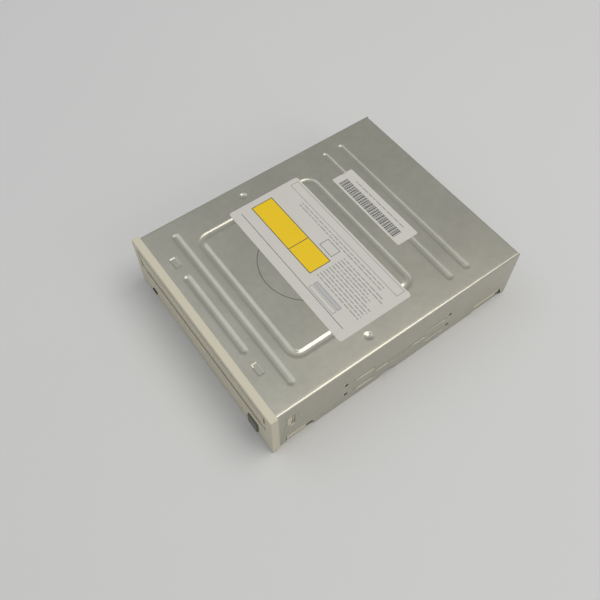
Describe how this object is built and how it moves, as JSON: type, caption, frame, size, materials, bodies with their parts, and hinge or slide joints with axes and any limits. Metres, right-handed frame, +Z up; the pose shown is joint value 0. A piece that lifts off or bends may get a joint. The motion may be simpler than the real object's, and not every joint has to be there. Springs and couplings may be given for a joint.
{
  "type": "disc drive with motor-driven tray",
  "caption": "Internal optical disc drive for a computer bay: folded steel case, moulded front, motor-driven tray, lifting laser unit and magnetic clamp.",
  "frame": {"origin": "middle of the underside, under the centre of the whole drive's box", "axes": "+X to the right seen from the front, +Y from the front to the rear, +Z up"},
  "size_m": [0.1482, 0.1852, 0.042],
  "materials": {
    "galvanised_sheet": "galvanised, satin",
    "zinc_screws": "bright zinc",
    "cream_plastic": "fine moulded texture",
    "grey_button": "smooth",
    "smoked_window": "clear dark",
    "ivory_moulding": "moulded",
    "black_moulding": "moulded",
    "natural_nylon": "natural",
    "black_rubber": "matte",
    "motor_can": "plated",
    "brass_pulley": "turned",
    "shaft_steel": "ground",
    "plated_steel": "plated",
    "die_cast": "cast",
    "lens_glass": "polished",
    "magnet": "dark",
    "board_green": "solder mask",
    "capacitor_can": "sleeved",
    "socket_white": "moulded",
    "gold_pins": "plated",
    "lamp": "tinted",
    "label_paper": "printed, bare of words"
  },
  "bodies": {
    "housing": {"top_cover": "galvanised_sheet", "bottom_cover": "galvanised_sheet", "bottom_screws": "zinc_screws", "front_bezel": "cream_plastic", "indicator_lens": "smoked_window", "main_frame": "ivory_moulding", "loading_motor": "motor_can", "motor_screws": "zinc_screws", "drive_belt": "black_rubber", "clamper_bridge": "plated_steel", "bridge_screws": "zinc_screws", "main_board": "board_green", "board_chips": "black_moulding", "capacitors": "capacitor_can", "flex_sockets": "socket_white", "front_board": "board_green", "board_screws": "zinc_screws", "eject_switch": "black_moulding", "indicator_lamp": "lamp", "tray_switch": "black_moulding", "bus_socket": "black_moulding", "bus_pins": "gold_pins", "power_socket": "socket_white", "power_pins": "gold_pins", "audio_socket": "black_moulding", "audio_pins": "gold_pins", "jumper_block": "black_moulding", "jumper_cap": "socket_white", "rating_label": "label_paper", "serial_sticker": "label_paper"},
    "drawer": {"tray": "black_moulding", "tray_door": "cream_plastic"},
    "reduction_gear": {"tray_gear": "natural_nylon"},
    "pulley_wheel": {"belt_wheel": "natural_nylon"},
    "motor_rotor": {"motor_pulley": "brass_pulley", "motor_shaft": "shaft_steel"},
    "cam_slide": {"cam_slider": "natural_nylon"},
    "lift": {"lift_frame": "black_moulding", "traverse_plate": "plated_steel", "dampers": "black_rubber", "step_screws": "zinc_screws", "spindle_motor": "plated_steel", "guide_rods": "shaft_steel", "rod_clamps": "black_moulding", "sled_motor": "motor_can", "screw_bracket": "plated_steel"},
    "spindle": {"turntable": "plated_steel", "turntable_pad": "black_rubber", "hub": "socket_white"},
    "lead_screw": {"lead_screw": "shaft_steel"},
    "pickup": {"pickup_body": "die_cast", "actuator_base": "plated_steel"},
    "lens": {"lens_holder": "black_moulding", "objective_lens": "lens_glass"},
    "clamper": {"clamper_disc": "socket_white", "clamp_magnet": "magnet", "clamper_cap": "socket_white"},
    "button": {"eject_button": "grey_button", "switch_plunger": "black_moulding"}
  },
  "joints": [
    {"name": "tray_slide", "type": "slide", "parent": "housing", "child": "drawer", "axis": [0, -1, 0], "range_m": [0, 0.135]},
    {"name": "tray_gear_spin", "type": "hinge", "parent": "housing", "child": "reduction_gear", "pos_m": [-0.03, -0.0674, 0.022], "axis": [0, 0, 1], "range_deg": [0, 775]},
    {"name": "belt_wheel_spin", "type": "hinge", "parent": "housing", "child": "pulley_wheel", "pos_m": [-0.01068, -0.06222, 0.018], "axis": [0, 0, 1], "range_deg": [-1992, 0]},
    {"name": "motor_spin", "type": "hinge", "parent": "housing", "child": "motor_rotor", "pos_m": [0.03, -0.0674, 0.018], "axis": [0, 0, 1], "range_deg": [-7035, 0]},
    {"name": "cam_slide", "type": "slide", "parent": "housing", "child": "cam_slide", "axis": [1, 0, 0], "range_m": [0, 0.016]},
    {"name": "lift_pivot", "type": "hinge", "parent": "housing", "child": "lift", "pos_m": [0, 0.0686, 0.014], "axis": [1, 0, 0], "range_deg": [0, 4.2]},
    {"name": "turntable_spin", "type": "hinge", "parent": "lift", "child": "spindle", "pos_m": [0, -0.0134, 0.024], "axis": [0, 0, 1], "continuous": true},
    {"name": "clamper_spin", "type": "hinge", "parent": "housing", "child": "clamper", "pos_m": [0, -0.0134, 0.034], "axis": [0, 0, 1], "continuous": true},
    {"name": "pickup_slide", "type": "slide", "parent": "lift", "child": "pickup", "axis": [0, 1, 0], "range_m": [0, 0.034]},
    {"name": "lead_screw_spin", "type": "hinge", "parent": "lift", "child": "lead_screw", "pos_m": [0.035, 0.02, 0.0156], "axis": [0, 1, 0], "range_deg": [0, 4082]},
    {"name": "focus_slide", "type": "slide", "parent": "pickup", "child": "lens", "axis": [0, 0, 1], "range_m": [-0.0006, 0.0006], "stiffness_N_per_m": 60},
    {"name": "button_press", "type": "slide", "parent": "housing", "child": "button", "axis": [0, 1, 0], "range_m": [0, 0.0008], "stiffness_N_per_m": 500, "springref_m": -0.001}
  ],
  "couplings": [
    {"joint": "tray_gear_spin", "follows": "tray_slide", "rad_per_m": 100},
    {"joint": "belt_wheel_spin", "follows": "tray_slide", "rad_per_m": -257.14},
    {"joint": "motor_spin", "follows": "tray_slide", "rad_per_m": -908.57},
    {"joint": "lift_pivot", "follows": "cam_slide", "rad_per_m": 4.5706},
    {"joint": "clamper_spin", "follows": "turntable_spin", "ratio": 1},
    {"joint": "lead_screw_spin", "follows": "pickup_slide", "rad_per_m": 2094.4}
  ]
}
